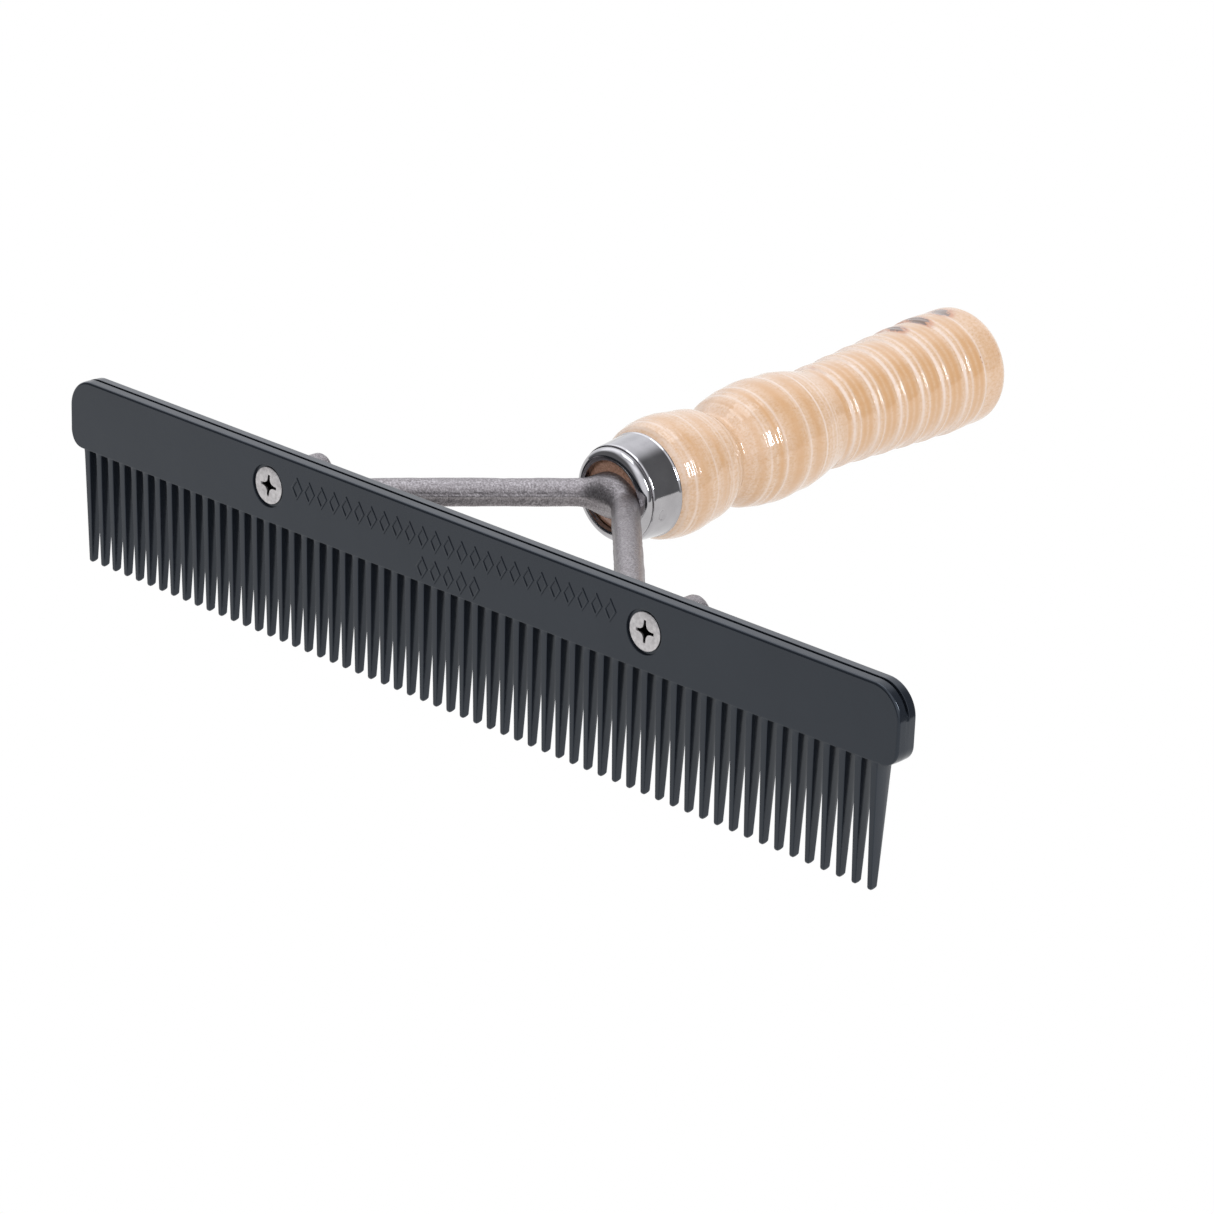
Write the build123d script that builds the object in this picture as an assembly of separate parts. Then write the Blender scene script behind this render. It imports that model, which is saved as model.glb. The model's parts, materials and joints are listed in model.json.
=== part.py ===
from build123d import *
import math
import os

# Livestock show comb on a forked shank with a turned wooden handle. Millimetres.
#
# The comb frame is the frame in which the pieces are drawn: X runs along the comb, Y runs from
# the comb's front face towards the handle, Z points up, and z = 0 is the root line of the teeth.
# The shank frame is the comb frame lifted to the shank's axis and tilted by the shank's tilt.
# The finished part is turned by the rest pitch, so that it lies with its tooth tips and the
# butt of its handle on z = 0.

# ---- comb: one moulding, drawn as a spine and its teeth -------------------------------------
INCH = 25.4
COMB_LENGTH = 9 * INCH
SPINE_HEIGHT = 15.4
SPINE_THICKNESS = 4.75
TOP_CORNER_RADIUS = 6.5
BOTTOM_CORNER_RADIUS = 3.6
FRONT_EDGE_RADIUS = 0.7
GROOVE_WIDTH = 0.6
GROOVE_DEPTH = 0.5

TOOTH_COUNT = 59
TOOTH_PITCH = 3.76
TOOTH_LENGTH = 1 * INCH
TOOTH_ROOT_WIDTH = 1.55
TOOTH_TIP_WIDTH = 0.9
TOOTH_ROOT_DEPTH = 4.6
TOOTH_TIP_DEPTH = 2.2
TOOTH_TIP_SETBACK = 0.2

# ---- comb screws: number 8 flat heads -------------------------------------------------------
SCREW_SPACING = 104.4
SCREW_HEIGHT = 7.86
SCREW_LENGTH = INCH / 2
SCREW_SHANK_DIAMETER = 4.2
SCREW_HEAD_DIAMETER = 7.84
SCREW_HEAD_ANGLE = 82.0
SCREW_HEAD_SETBACK = 0.22
SCREW_HEAD_RIM = 0.3
COUNTERBORE_DIAMETER = 8.9
CLEARANCE_HOLE_DIAMETER = 4.5
RECESS_SPAN = 4.6
RECESS_WING = 1.0
RECESS_DEPTH = 1.7
RECESS_TAPER = 16.0

# ---- fork: one steel casting ----------------------------------------------------------------
SHANK_TILT = 2.2
SHANK_AXIS_HEIGHT = 7.35
ARM_ANGLE = 45.0
ARM_APEX = 49.2
ARM_WIDTH = 5.9
ARM_SIDE_HEIGHT = 2.2
ARM_END_DISTANCE = 10.0
ARM_BEND_RADIUS = 10.0
BOSS_DIAMETER = 7.2
BOSS_END = 15.2
BOSS_EDGE_RADIUS = 0.8
HUB_RADIUS = 5.2
HUB_DISTANCE = 47.0
NECK_END = 58.0
TANG_RADIUS = 3.5
TANG_END = 105.0
TANG_POINT_RADIUS = 2.0

# ---- ferrule: a pressed steel cup with a rolled front lip ------------------------------------
FERRULE_BACK = 55.0
FERRULE_BACK_RADIUS = 10.92
FERRULE_TAPER = 0.085
FERRULE_WALL = 0.8
FERRULE_SHOULDER = 47.2
FERRULE_LIP_FRONT = 45.4
FERRULE_LIP_CENTRE_RADIUS = 8.7
FERRULE_MOUTH_RADIUS = 7.35
FERRULE_MOUTH = 46.3
STAKE_RADIUS = 1.3
STAKE_DEPTH = 0.35
STAKE_DISTANCE = 50.0
STAKE_ANGLE = -14.0

# ---- handle: turned wood --------------------------------------------------------------------
HANDLE_FACE = 48.5
HANDLE_BUTT = 158.5
BUTT_FLAT_RADIUS = 4.8
BUTT_ROUND_DEPTH = 4.6
RING_START = 108.3
RING_PITCH = 6.9
RING_COUNT = 6
RING_FIRST_RADIUS = 11.2
RING_GROWTH = 0.375
RING_CROWN = 0.12
# Distance along the shank and radius of each turned bead, from the ferrule to the second waist.
FRONT_BEAD = [(55.0, 10.9), (57.1, 12.15), (61.8, 12.83), (65.6, 12.45), (67.5, 12.15)]
NECK_COVE = [(67.5, 12.15), (70.4, 11.85), (72.8, 11.05), (75.8, 10.05)]
MIDDLE_RISE = [(75.8, 10.05), (78.4, 11.2), (81.3, 12.15), (84.6, 12.5)]
MIDDLE_BEAD = [(84.6, 12.5), (89.0, 13.17), (94.0, 12.8)]
WAIST = [(94.0, 12.8), (97.7, 12.7), (102.5, 11.7), (106.6, 10.8), (108.3, 11.05)]

HALF_SPACING = SCREW_SPACING / 2
SIDES = {"left": -1, "right": 1}


def to_shank(shape):
    """Moves a shape from the shank frame into the comb frame."""
    return Location((0, 0, SHANK_AXIS_HEIGHT), (SHANK_TILT, 0, 0)) * shape


def along_y(radius, start, end, x=0.0, z=0.0):
    """A cylinder whose axis runs along Y from start to end."""
    base = Plane(origin=(x, start, z), x_dir=(1, 0, 0), z_dir=(0, 1, 0))
    return extrude(base * Circle(radius), amount=end - start)


def turned(outline):
    """Turns an outline of (radius, distance) edges about the shank's axis."""
    return revolve(make_face(outline), axis=Axis.Y, revolution_arc=360)


# ---- spine ----------------------------------------------------------------------------------
def spine_outline(inset=0.0):
    """The spine's outline in its XZ plane, shrunk by inset all round."""
    half = COMB_LENGTH / 2 - inset
    low = inset
    high = SPINE_HEIGHT - inset
    top = TOP_CORNER_RADIUS - inset
    bottom = BOTTOM_CORNER_RADIUS - inset
    corners = [(-half, low), (half, low), (half, high), (-half, high)]
    return FilletPolyline(*corners, radius=[bottom, bottom, top, top], close=True)


def spine_plate(start, end, inset=0.0):
    """A slab with the spine's outline between two distances behind the front face."""
    base = Plane(origin=(0, start, 0), x_dir=(1, 0, 0), z_dir=(0, -1, 0))
    return extrude(base * make_face(spine_outline(inset)), amount=start - end)


def edge_groove():
    """The groove that runs round the middle of the top edge and both ends."""
    middle = SPINE_THICKNESS / 2
    start = middle - GROOVE_WIDTH / 2
    end = middle + GROOVE_WIDTH / 2
    ring = spine_plate(start, end) - spine_plate(start, end, GROOVE_DEPTH)
    below = Pos(0, middle, 0) * Box(COMB_LENGTH + 2, 2 * SPINE_THICKNESS, 2 * BOTTOM_CORNER_RADIUS)
    return ring - below


def screw_seat(x):
    """The counterbore, the cone and the clearance hole that take one screw."""
    cone_start = SCREW_HEAD_SETBACK + SCREW_HEAD_RIM
    cone_radius = SCREW_HEAD_DIAMETER / 2
    hole_radius = CLEARANCE_HOLE_DIAMETER / 2
    cone_depth = (cone_radius - hole_radius) / math.tan(math.radians(SCREW_HEAD_ANGLE / 2))
    base = Plane(origin=(x, cone_start, SCREW_HEIGHT), x_dir=(1, 0, 0), z_dir=(0, 1, 0))
    tip = Plane(origin=(x, cone_start + cone_depth, SCREW_HEIGHT), x_dir=(1, 0, 0), z_dir=(0, 1, 0))
    cone = loft([base * Circle(cone_radius), tip * Circle(hole_radius)])
    counterbore = along_y(COUNTERBORE_DIAMETER / 2, -1, cone_start, x, SCREW_HEIGHT)
    hole = along_y(hole_radius, cone_start, SPINE_THICKNESS + 1, x, SCREW_HEIGHT)
    return counterbore + cone + hole


def comb_spine():
    spine = spine_plate(0, SPINE_THICKNESS)
    front = spine.edges().filter_by(lambda e: abs(e.center().Y) < 1e-6)
    rounded = front.filter_by(lambda e: e.center().Z > SPINE_HEIGHT - TOP_CORNER_RADIUS)
    upright = front.filter_by(lambda e: e.length < SPINE_HEIGHT and abs(e.tangent_at(0.5).X) < 1e-6)
    spine = fillet(rounded + upright, FRONT_EDGE_RADIUS)
    spine = spine - edge_groove()
    for side in SIDES.values():
        spine = spine - screw_seat(side * HALF_SPACING)
    return spine


# ---- teeth ----------------------------------------------------------------------------------
def tooth_side():
    """The tooth seen along the comb: an upright front and a back that leans in to a round tip."""
    tip_radius = TOOTH_TIP_DEPTH / 2
    tip_height = -TOOTH_LENGTH + tip_radius
    front_tip = (TOOTH_TIP_SETBACK, tip_height)
    lowest = (TOOTH_TIP_SETBACK + tip_radius, -TOOTH_LENGTH)
    back_tip = (TOOTH_TIP_SETBACK + TOOTH_TIP_DEPTH, tip_height)
    outline = Polyline((TOOTH_ROOT_DEPTH, 0), (0, 0), front_tip)
    outline += ThreePointArc(front_tip, lowest, back_tip)
    outline += Line(back_tip, (TOOTH_ROOT_DEPTH, 0))
    return make_face(outline)


def tooth_front():
    """The tooth seen from the front: straight sides that taper to a round tip."""
    tip_radius = TOOTH_TIP_WIDTH / 2
    tip_height = -TOOTH_LENGTH + tip_radius
    root = TOOTH_ROOT_WIDTH / 2
    outline = Polyline((-tip_radius, tip_height), (-root, 0), (root, 0), (tip_radius, tip_height))
    outline += ThreePointArc((tip_radius, tip_height), (0, -TOOTH_LENGTH), (-tip_radius, tip_height))
    return make_face(outline)


def tooth():
    side = extrude(Plane.YZ * tooth_side(), amount=TOOTH_ROOT_WIDTH, both=True)
    front = extrude(Plane.XZ * tooth_front(), amount=2 * TOOTH_ROOT_DEPTH, both=True)
    return side & front


def comb_teeth():
    first = -(TOOTH_COUNT - 1) * TOOTH_PITCH / 2
    one = tooth()
    return Compound([Pos(first + i * TOOTH_PITCH, 0, 0) * one.solid() for i in range(TOOTH_COUNT)])


# ---- screws ---------------------------------------------------------------------------------
def cross_recess():
    """A cross of two tapered slots, sunk from the top of a head that faces -Y at the origin."""
    top = Plane(origin=(0, 0, 0), x_dir=(1, 0, 0), z_dir=(0, 1, 0))
    lean = RECESS_DEPTH * math.tan(math.radians(RECESS_TAPER))
    bottom = top.offset(RECESS_DEPTH)
    slot = None
    for turn in (0, 90):
        mouth = top * (Rot(0, 0, turn) * Rectangle(RECESS_SPAN, RECESS_WING))
        floor = bottom * (Rot(0, 0, turn) * Rectangle(RECESS_SPAN - 4 * lean, RECESS_WING / 2))
        wedge = loft([mouth, floor])
        slot = wedge if slot is None else slot + wedge
    return slot


def screw():
    """One screw with its head's top at the origin and its shank along +Y."""
    head_radius = SCREW_HEAD_DIAMETER / 2
    shank_radius = SCREW_SHANK_DIAMETER / 2
    cone_depth = (head_radius - shank_radius) / math.tan(math.radians(SCREW_HEAD_ANGLE / 2))
    cone_end = SCREW_HEAD_RIM + cone_depth
    outline = Polyline(
        (0, 0),
        (head_radius, 0),
        (head_radius, SCREW_HEAD_RIM),
        (shank_radius, cone_end),
        (shank_radius, SCREW_LENGTH - 0.6),
        (shank_radius - 0.6, SCREW_LENGTH),
        (0, SCREW_LENGTH),
        close=True,
    )
    return turned(outline) - cross_recess()


def comb_screws():
    one = screw()
    places = [Pos(side * HALF_SPACING, SCREW_HEAD_SETBACK, SCREW_HEIGHT) for side in SIDES.values()]
    return Compound([place * one.solid() for place in places])


# ---- fork -----------------------------------------------------------------------------------
def arm_section():
    """The arm's D section: half round on top, upright sides and a flat underside."""
    half = ARM_WIDTH / 2
    outline = Polyline((half, 0), (half, -ARM_SIDE_HEIGHT), (-half, -ARM_SIDE_HEIGHT), (-half, 0))
    outline += ThreePointArc((-half, 0), (0, half), (half, 0))
    return make_face(outline)


def arm(side):
    """One arm in the shank frame: out and forward at 45 degrees, then level with the comb."""
    run = ARM_APEX - ARM_END_DISTANCE
    apex = (0, ARM_APEX)
    corner = (side * run / math.tan(math.radians(ARM_ANGLE)), ARM_END_DISTANCE)
    end = (side * HALF_SPACING, ARM_END_DISTANCE)
    route = FilletPolyline(apex, corner, end, radius=ARM_BEND_RADIUS)
    start = Plane(origin=(0, ARM_APEX, 0), z_dir=route % 0, x_dir=Vector(0, 0, 1).cross(route % 0))
    return sweep(start * arm_section(), path=route)


def boss(side):
    """The round boss behind the comb, with its screw hole, in the comb frame."""
    x = side * HALF_SPACING
    body = along_y(BOSS_DIAMETER / 2, SPINE_THICKNESS, BOSS_END, x, SCREW_HEIGHT)
    back = body.edges().filter_by(lambda e: abs(e.center().Y - BOSS_END) < 1e-6)
    return fillet(back, BOSS_EDGE_RADIUS)


def hub_and_tang():
    """The domed hub, the neck and the tang that the handle is driven on, in the shank frame."""
    nose = (0, HUB_DISTANCE - HUB_RADIUS)
    dome_middle = HUB_RADIUS * math.sqrt(0.5)
    dome_end = (HUB_RADIUS, HUB_DISTANCE)
    outline = ThreePointArc(nose, (dome_middle, HUB_DISTANCE - dome_middle), dome_end)
    outline += Polyline(dome_end, *tang_corners(), nose)
    return turned(outline)


def tang_corners():
    """The neck's back edge and the tapered tang, as (radius, distance) corners down to the axis."""
    return [
        (HUB_RADIUS, NECK_END),
        (TANG_RADIUS, NECK_END),
        (TANG_RADIUS, TANG_END - TANG_RADIUS),
        (TANG_POINT_RADIUS, TANG_END),
        (0, TANG_END),
    ]


def fork():
    casting = hub_and_tang()
    for side in SIDES.values():
        casting = casting + arm(side)
    casting = to_shank(casting)
    for side in SIDES.values():
        casting = casting + boss(side)
    for side in SIDES.values():
        hole = along_y(SCREW_SHANK_DIAMETER / 2, 0, BOSS_END + 1, side * HALF_SPACING, SCREW_HEIGHT)
        casting = casting - hole
    return casting


# ---- ferrule --------------------------------------------------------------------------------
def ferrule_radius(distance):
    """The ferrule's outside radius: it narrows a little towards the comb."""
    return FERRULE_BACK_RADIUS - FERRULE_TAPER * (FERRULE_BACK - distance)


def ferrule_bore_radius(distance):
    return ferrule_radius(distance) - FERRULE_WALL


def ferrule():
    back = (ferrule_radius(FERRULE_BACK), FERRULE_BACK)
    bore_back = (ferrule_bore_radius(FERRULE_BACK), FERRULE_BACK)
    shoulder = (ferrule_radius(FERRULE_SHOULDER), FERRULE_SHOULDER)
    lip_top = (FERRULE_LIP_CENTRE_RADIUS, FERRULE_LIP_FRONT)
    mouth = (FERRULE_MOUTH_RADIUS, FERRULE_MOUTH)
    mouth_back = (FERRULE_MOUTH_RADIUS, FERRULE_MOUTH + FERRULE_WALL)
    inner_top = (FERRULE_LIP_CENTRE_RADIUS, FERRULE_LIP_FRONT + FERRULE_WALL)
    inner_shoulder = (ferrule_bore_radius(FERRULE_SHOULDER), FERRULE_SHOULDER)
    outline = Line(back, shoulder)
    outline += TangentArc(shoulder, lip_top, tangent=(-FERRULE_TAPER, -1))
    outline += Line(lip_top, mouth)
    outline += Line(mouth, mouth_back)
    outline += Line(mouth_back, inner_top)
    outline += Line(inner_top, inner_shoulder)
    outline += Line(inner_shoulder, bore_back)
    outline += Line(bore_back, back)
    cup = turned(outline)
    return to_shank(cup - stake())


def stake():
    """The punched dimple that keys the ferrule to the wood: a shallow cut of a large ball."""
    ball = (STAKE_RADIUS**2 + STAKE_DEPTH**2) / (2 * STAKE_DEPTH)
    reach = ferrule_radius(STAKE_DISTANCE) + ball - STAKE_DEPTH
    angle = math.radians(STAKE_ANGLE)
    return Pos(reach * math.cos(angle), STAKE_DISTANCE, reach * math.sin(angle)) * Sphere(ball)


# ---- handle ---------------------------------------------------------------------------------
def bead(stations):
    """A smooth turned stretch through (distance, radius) stations."""
    return Spline(*[(radius, distance) for distance, radius in stations])


def rings():
    """The finger rings: shallow crowned steps that grow towards the butt."""
    edges = []
    here = (WAIST[-1][1], RING_START)
    for i in range(RING_COUNT):
        radius = RING_FIRST_RADIUS + i * RING_GROWTH
        start = RING_START + i * RING_PITCH
        end = start + RING_PITCH
        rise = (radius, start + RING_PITCH / 8)
        fall = (radius + RING_CROWN / 2, end)
        edges.append(Line(here, rise))
        edges.append(ThreePointArc(rise, (radius + RING_CROWN, (rise[1] + end) / 2), fall))
        here = fall
    return edges, here


def butt(start):
    """The rounded end: a flat disc joined to the last ring by a quarter ellipse."""
    round_start = (start[0], HANDLE_BUTT - BUTT_ROUND_DEPTH)
    flat = (BUTT_FLAT_RADIUS, HANDLE_BUTT)
    straight = Line(start, round_start)
    curve = Spline(round_start, flat, tangents=[(0, 1), (-1, 0)])
    return [straight, curve], flat


def handle():
    ring_edges, last = rings()
    butt_edges, flat = butt(last)
    edges = [bead(FRONT_BEAD), bead(NECK_COVE), bead(MIDDLE_RISE), bead(MIDDLE_BEAD), bead(WAIST)]
    edges += ring_edges + butt_edges
    shoulder = (ferrule_bore_radius(FERRULE_BACK), FERRULE_BACK)
    stub = (ferrule_bore_radius(HANDLE_FACE), HANDLE_FACE)
    face = Polyline(
        flat,
        (0, HANDLE_BUTT),
        *reversed(tang_corners()),
        (HUB_RADIUS, HANDLE_FACE),
        stub,
        shoulder,
        (FRONT_BEAD[0][1], FRONT_BEAD[0][0]),
    )
    outline = Curve() + edges + face
    return to_shank(turned(outline))


# ---- rest pose and export -------------------------------------------------------------------
def rest_pitch():
    """The turn about X that brings the tooth tips and the butt's round to one level, in degrees."""
    tilt = math.radians(SHANK_TILT)
    tip_radius = TOOTH_TIP_DEPTH / 2
    tip_y = TOOTH_TIP_SETBACK + tip_radius
    tip_z = -TOOTH_LENGTH + tip_radius
    butt_radius = RING_FIRST_RADIUS + (RING_COUNT - 1) * RING_GROWTH + RING_CROWN / 2
    contact = HANDLE_BUTT - BUTT_ROUND_DEPTH
    low_y = contact * math.cos(tilt) + butt_radius * math.sin(tilt)
    low_z = SHANK_AXIS_HEIGHT + contact * math.sin(tilt) - butt_radius * math.cos(tilt)
    gap = math.hypot(low_y - tip_y, low_z - tip_z)
    rise = math.atan2(low_z - tip_z, low_y - tip_y)
    return math.degrees(rise + math.asin(tip_radius / gap))


NODES = {
    "comb_spine": comb_spine,
    "comb_teeth": comb_teeth,
    "comb_screws": comb_screws,
    "fork": fork,
    "ferrule": ferrule,
    "handle": handle,
}


def main():
    os.makedirs("parts", exist_ok=True)
    shapes = {name: build() for name, build in NODES.items()}
    pitch = Rot(-rest_pitch(), 0, 0)
    boxes = [(pitch * shape).bounding_box() for shape in shapes.values()]
    low_y = min(box.min.Y for box in boxes)
    high_y = max(box.max.Y for box in boxes)
    low_z = min(box.min.Z for box in boxes)
    place = Pos(0, -(low_y + high_y) / 2, -low_z) * pitch
    print("rest pitch", rest_pitch(), "middle y", (low_y + high_y) / 2, "lift", -low_z)
    for name, shape in shapes.items():
        export_step(place * shape, f"parts/{name}.step")


main()
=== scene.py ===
import json
from math import atan2, cos, degrees, exp, hypot, pi, radians, sin, sqrt, tan

import bmesh
import bpy
import numpy as np
from mathutils import Matrix, Vector, noise


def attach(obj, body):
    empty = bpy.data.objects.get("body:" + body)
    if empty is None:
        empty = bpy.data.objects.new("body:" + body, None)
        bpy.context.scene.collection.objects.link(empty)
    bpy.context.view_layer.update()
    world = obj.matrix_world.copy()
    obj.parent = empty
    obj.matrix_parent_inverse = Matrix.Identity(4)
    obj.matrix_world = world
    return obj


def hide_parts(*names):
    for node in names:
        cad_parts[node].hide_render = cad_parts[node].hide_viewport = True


# A livestock show comb: a moulded comb held by two screws on a forked steel shank, with a pressed
# ferrule and a turned, lacquered wooden handle. Each piece is drawn in millimetres in one of two
# local frames, and its object stands in that frame, so its object coordinates are local too.
# The comb frame has X along the comb, Y from its front face towards the handle, Z up, and its
# origin on the root line of the teeth. The shank frame has its Y along the axis of the handle.

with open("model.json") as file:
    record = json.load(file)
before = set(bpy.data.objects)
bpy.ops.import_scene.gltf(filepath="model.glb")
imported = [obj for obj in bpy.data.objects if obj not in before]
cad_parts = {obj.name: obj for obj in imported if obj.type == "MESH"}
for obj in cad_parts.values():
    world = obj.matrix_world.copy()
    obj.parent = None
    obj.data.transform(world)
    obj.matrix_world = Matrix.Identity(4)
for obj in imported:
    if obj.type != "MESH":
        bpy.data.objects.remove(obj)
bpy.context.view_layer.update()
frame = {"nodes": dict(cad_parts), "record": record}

MM = 0.001
# Two of the record's mounts: the height of comb_face and the distance of butt_end from an origin.
COMB_FACE_HEIGHT = 4.0
BUTT_DISTANCE = 158.5


# ---- frames ----
def standing(origin, y_axis):
    """The frame at origin with X along the comb and Y along y_axis."""
    x_axis = Vector((1, 0, 0))
    y_axis = y_axis.normalized()
    matrix = Matrix((x_axis, y_axis, x_axis.cross(y_axis))).transposed().to_4x4()
    matrix.translation = origin
    return matrix


def mount(name):
    """Place and axis of one of the record's mounts."""
    found = next(m for m in frame["record"]["mounts"] if m["name"] == name)
    return Vector(found["pos_m"]), Vector(found["axis"])


def comb_frame():
    face, out = mount("comb_face")
    up = Vector((1, 0, 0)).cross(-out)
    return standing(face - up * COMB_FACE_HEIGHT * MM, -out)


def shank_frame():
    butt, back = mount("butt_end")
    return standing(butt - back * BUTT_DISTANCE * MM, back)


def local_box(node, place):
    """Lowest and highest corner of a CAD node in a local frame, in millimetres."""
    inverse = place.inverted()
    points = np.array([inverse @ v.co for v in frame["nodes"][node].data.vertices])
    return points.min(0) / MM, points.max(0) / MM


COMB = comb_frame()
SHANK = shank_frame()
SHANK_IN_COMB = COMB.inverted() @ SHANK
SPINE_LOW, SPINE_HIGH = local_box("comb_spine", COMB)
TEETH_LOW, TEETH_HIGH = local_box("comb_teeth", COMB)
SCREW_LOW, SCREW_HIGH = local_box("comb_screws", COMB)
FERRULE_HIGH = local_box("ferrule", SHANK)[1]

# ---- sizes in millimetres ----
# Comb.
TOP_CORNER_RADIUS = 6.5
BOTTOM_CORNER_RADIUS = 3.6
FRONT_EDGE_RADIUS = 0.55
BACK_EDGE_RADIUS = 0.3
ROOT_EDGE_RADIUS = 0.25
DRAFT = 2.0
FRONT_EDGE_POINTS = 7
BACK_EDGE_POINTS = 6
# The rounding changes towards the root, by how steeply the outline faces down.
ROOT_EDGE_FADE = (0.3, 0.95)
# The groove runs over the top and fades out on the ends, by how steeply the outline faces up.
GROOVE_FADE = (0.02, 0.45)
GROOVE_WIDTH = 0.72
GROOVE_DEPTH = 0.85
GROOVE_LIP = 0.06
GROOVE_WALL = 0.02
TOOTH_COUNT = 59
# Width, depth and setback of a tooth at its root and at its tip.
TOOTH_ROOT = (1.58, 4.55, 0.06)
TOOTH_TIP = (1.0, 1.45, 0.85)
TOOTH_DRAFT = 6.5
TOOTH_BACK_DRAFT = 13.0
TOOTH_CORNER = 0.16
TOOTH_SMALLEST_FLAT = 0.05
TOOTH_FLARE = 0.1
TOOTH_FLARE_REACH = 0.35
TOOTH_FLARE_HEIGHTS = [0.5, 0.0, -0.08, -0.2, -0.4, -0.8]
TOOTH_SHAFT_START = -4.0
TOOTH_SHAFT_LOOPS = 6
# Share of the tip's height, then how far its front, its back and its width have drawn in.
TOOTH_TIP_STEPS = [
    (0.2, 0.0, 0.05, 1.0),
    (0.42, 0.02, 0.17, 0.96),
    (0.64, 0.05, 0.33, 0.87),
    (0.82, 0.10, 0.46, 0.72),
    (0.93, 0.17, 0.55, 0.53),
    (1.0, 0.28, 0.62, 0.3),
]
# Raised lozenges: their size, the outline's stroke and bevel, then count and height of each row.
LOZENGE_WIDE = 3.3
LOZENGE_HIGH = 4.94
LOZENGE_RISE = 0.18
LOZENGE_STROKE = 0.55
LOZENGE_BEVEL = 0.154
LOZENGE_SHOULDER = 0.06
LOZENGE_SUNK = 0.2
LOZENGE_PITCH = 3.62
LOZENGE_ROWS = [(25, 9.6), (5, 3.3)]

# Screws and their seats, each at SCREW_REACH from the middle of the comb.
HEAD_RADIUS = 3.92
SCREW_REACH = SCREW_HIGH[0] - HEAD_RADIUS
SCREW_HEIGHT = (SCREW_LOW[2] + SCREW_HIGH[2]) / 2
HEAD_SETBACK = 0.22
HEAD_EDGE = 0.14
HEAD_RIM = 0.3
HEAD_ANGLE = 82.0
SCREW_SEGMENTS = 96
SCREW_RADIUS = 2.1
SCREW_END_CHAMFER = 0.6
SCREW_TURNS = (4.0, 0.0)
SEAT_RADIUS = 4.45
SEAT_FLARE = 0.16
SEAT_EDGE = 0.04
SEAT_CLEARANCE = 0.15
CUT_MARGIN = 1.0
RECESS_SPAN = 4.6
RECESS_WING = 0.62
# Stages of the cross recess: depth, shares of the span and of the wing's width, and waist.
RECESS_STAGES = [
    (-0.4, 1.05, 1.12, 0.74),
    (0.0, 1.0, 1.0, 0.68),
    (1.15, 0.8, 0.86, 0.58),
    (1.955, 0.6, 0.74, 0.5),
    (2.3, 0.3, 0.5, 0.32),
]
# Depths at which painted shade starts to darken the recess and at which it is dark.
RECESS_PAINTED_SHADE = (0.34, 0.75)

# Fork, in the shank frame; its bosses stand square to the comb.
ARM_APEX = 49.5
ARM_RADIUS = 2.75
ARM_SIDE = 2.4
ARM_SIDE_DRAFT = 5.0
ARM_END_DISTANCE = 10.0
ARM_BEND_RADIUS = 10.0
ARM_EDGE = 0.5
BOSS_RADIUS = 3.6
BOSS_END = 15.2
BOSS_EDGE = 0.8
BOSS_SQUARE_HALF = 1.0
BOSS_HOLE_CLEARANCE = 0.05
HUB_RADIUS = 4.8
ARM_FILLET = 1.0
HUB_FILLET = 3.6
BOSS_FILLET = 1.6
HUB_DISTANCE = 47.0
NECK_END = 54.0
PARTING_RIDGE = 0.18
RIDGE_FILLET = 0.25
FORK_STEP = 0.3
GRID_MARGIN = 4
# Size and height of the waves in the cast surface.
CAST_WAVES = [(6.0, 0.10), (1.6, 0.05)]

# Ferrule.
FERRULE_TAPER = 0.085
FERRULE_WALL = 0.8
LIP_RADIUS = 1.75
LIP_DROP = 0.32
LIP_FRONT = 45.4
CREASE = 0.22
CREASE_BEHIND_LIP = 0.25
REAR_BEAD = 0.1
REAR_EDGE = 0.18
FERRULE_STEP = 0.22
FERRULE_SEGMENTS = 320
MOUTH_RADIUS = 7.35
# Inside the mouth: distance behind the end of the lip and radius beyond the mouth's.
MOUTH_STATIONS = [(0.35, 0.25), (0.7, 0.02), (1.0, 0.0), (1.3, 0.15)]
STAKE_DISTANCE = 50.0
STAKE_ANGLE = -14.0
STAKE_LONG = 1.45
STAKE_SHORT = 0.95
STAKE_DEPTH = 0.3
STAKE_FLOOR = 0.65
# Its raised rim: height, then place and width as shares of the mark's size.
STAKE_RIM = (0.04, 1.15, 0.15)

# Handle. The stub ends in the mouth of the ferrule: distance behind its face and radius.
HANDLE_FACE = 46.5
HANDLE_SEGMENTS = 136
STUB_FACE = [(0.0, 4.6), (0.0, 5.6), (0.0, 6.6), (0.1, 7.1), (0.5, 7.6)]
STUB_START = 48.7
STUB_RADIUS = 9.3
END_GRAIN_FADE = 1.5
# Just ahead of the first bead: distance from it and radius beyond the stub's.
STUB_SHOULDER = [(-0.6, 0.7), (-0.05, 0.75)]
# Distance along the shank and radius of the beads.
BEADS = [
    (55.0, 10.95), (56.0, 11.75), (58.3, 12.45), (61.6, 12.83), (65.0, 12.55), (67.8, 12.1),
    (70.8, 11.7), (73.0, 10.75), (75.6, 9.4), (77.4, 10.35), (79.6, 11.55), (83.2, 12.42),
    (86.5, 12.9), (89.2, 13.17), (93.0, 12.93), (97.1, 12.72), (100.1, 12.29), (103.7, 11.4),
    (106.4, 10.81), (107.5, 10.8),
]
BEAD_STEP = 0.16
# Fine ridges that the turning tool left: distance and height.
TOOL_RIDGES = [
    (56.3, 0.05), (58.6, 0.06), (63.4, 0.05), (68.0, 0.07), (71.5, 0.03), (78.0, 0.04),
    (80.3, 0.05), (82.1, 0.06), (84.3, 0.08), (91.0, 0.06), (97.0, 0.08), (101.8, 0.03),
]
TOOL_RIDGE_WIDTH = 0.34
# The trough behind each ridge: its depth as a share of the height and its distance in widths.
TOOL_TROUGH = (0.6, 1.7)
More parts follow.
